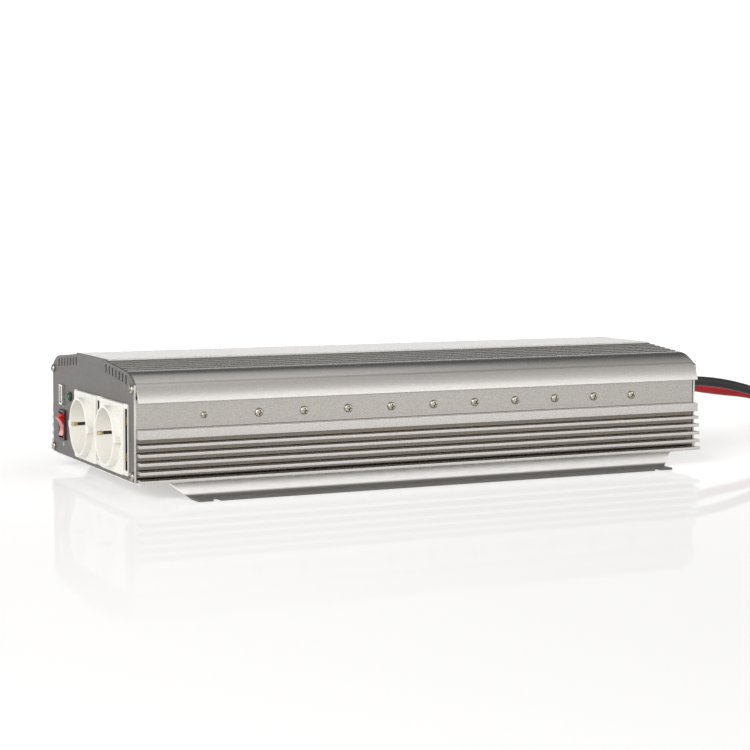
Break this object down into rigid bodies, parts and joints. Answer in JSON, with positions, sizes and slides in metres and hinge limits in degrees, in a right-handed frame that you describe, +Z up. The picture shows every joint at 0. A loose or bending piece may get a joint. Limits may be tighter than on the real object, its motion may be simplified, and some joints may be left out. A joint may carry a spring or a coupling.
{
  "type": "power inverter",
  "caption": "Finned aluminium power inverter with two earthed outlets, a USB outlet and a rocker switch in front, fans behind, and coiled battery leads.",
  "frame": {"origin": "on the surface under the feet, below the middle of the object's box without the battery leads", "axes": "+X along the case from the outlets to the battery leads, +Z up, -Y the side with the outlets' end of the front panel"},
  "size_m": [0.7688, 0.245, 0.0925],
  "materials": {
    "anodised_case": "satin anodised, drawn along its length",
    "base_sheet": "satin sheet",
    "panel_paint": "grey powder coat",
    "screw_nickel": "nickel plated",
    "outlet_cream": "moulded, satin gloss",
    "contact_brass": "plain",
    "switch_black": "fine grain",
    "rocker_red": "translucent gloss",
    "usb_steel": "bright nickel",
    "usb_insert": "moulded",
    "lamp_green": "clear green lens",
    "lamp_collar": "moulded",
    "fan_black": "moulded",
    "guard_wire": "bright plated wire",
    "relief_rubber": "moulded",
    "lead_black": "extruded sheath",
    "lead_red": "extruded sheath",
    "lug_tin": "tinned copper",
    "stud_brass": "turned",
    "board_green": "solder mask",
    "ferrite": "ground ferrite",
    "winding_tape": "polyester tape",
    "can_sleeve": "shrink sleeve",
    "chip_black": "moulded epoxy",
    "bar_steel": "zinc plated",
    "pad_grey": "silicone sheet",
    "fuse_yellow": "moulded"
  },
  "bodies": {
    "case": {"case_extrusion": "anodised_case", "base_plate": "base_sheet", "base_screws": "screw_nickel", "front_panel": "panel_paint", "rear_panel": "panel_paint", "front_panel_screws": "screw_nickel", "rear_panel_screws": "screw_nickel", "clamp_screws": "screw_nickel", "small_side_screws": "screw_nickel", "side_nuts": "screw_nickel", "switch_body": "switch_black", "usb_shell": "usb_steel", "usb_tongue": "usb_insert", "usb_board": "board_green", "lamp": "lamp_green", "lamp_ring": "lamp_collar", "fan_screws": "screw_nickel", "earth_stud": "stud_brass", "earth_nut": "screw_nickel", "main_board": "board_green", "board_standoffs": "stud_brass", "board_screws": "screw_nickel", "transformer_cores": "ferrite", "transformer_windings": "winding_tape", "input_capacitors": "can_sleeve", "bulk_capacitors": "can_sleeve", "output_choke": "winding_tape", "fuses": "fuse_yellow", "control_board": "board_green", "buzzer": "chip_black", "clamp_bars": "bar_steel", "insulating_strips": "pad_grey", "outlet_contacts": "contact_brass", "side_terminals": "contact_brass", "transistors_near": "chip_black", "fan_frame_near": "fan_black", "fan_guard_near": "guard_wire", "outlet_housing_near": "outlet_cream", "outlet_back_near": "outlet_cream", "earth_clips_near": "contact_brass", "transistors_far": "chip_black", "fan_frame_far": "fan_black", "fan_guard_far": "guard_wire", "outlet_housing_far": "outlet_cream", "outlet_back_far": "outlet_cream", "earth_clips_far": "contact_brass", "lead_black": "lead_black", "lead_coil_black": "lead_black", "lead_lug_black": "lug_tin", "strain_relief_black": "relief_rubber", "inner_lead_black": "lead_black", "lead_red": "lead_red", "lead_coil_red": "lead_red", "lead_lug_red": "lug_tin", "strain_relief_red": "relief_rubber", "inner_lead_red": "lead_red"},
    "rocker": {"rocker": "rocker_red"},
    "fan_near": {"fan_rotor_near": "fan_black"},
    "fan_far": {"fan_rotor_far": "fan_black"}
  },
  "joints": [
    {"name": "rocker_tilt", "type": "hinge", "parent": "case", "child": "rocker", "pos_m": [-0.2324, 0.07, 0.035], "axis": [0, 1, 0], "range_deg": [0, 24]},
    {"name": "fan_near_spin", "type": "hinge", "parent": "case", "child": "fan_near", "pos_m": [0.2141, -0.06, 0.047], "axis": [1, 0, 0], "continuous": true},
    {"name": "fan_far_spin", "type": "hinge", "parent": "case", "child": "fan_far", "pos_m": [0.2141, 0.06, 0.047], "axis": [1, 0, 0], "continuous": true}
  ]
}
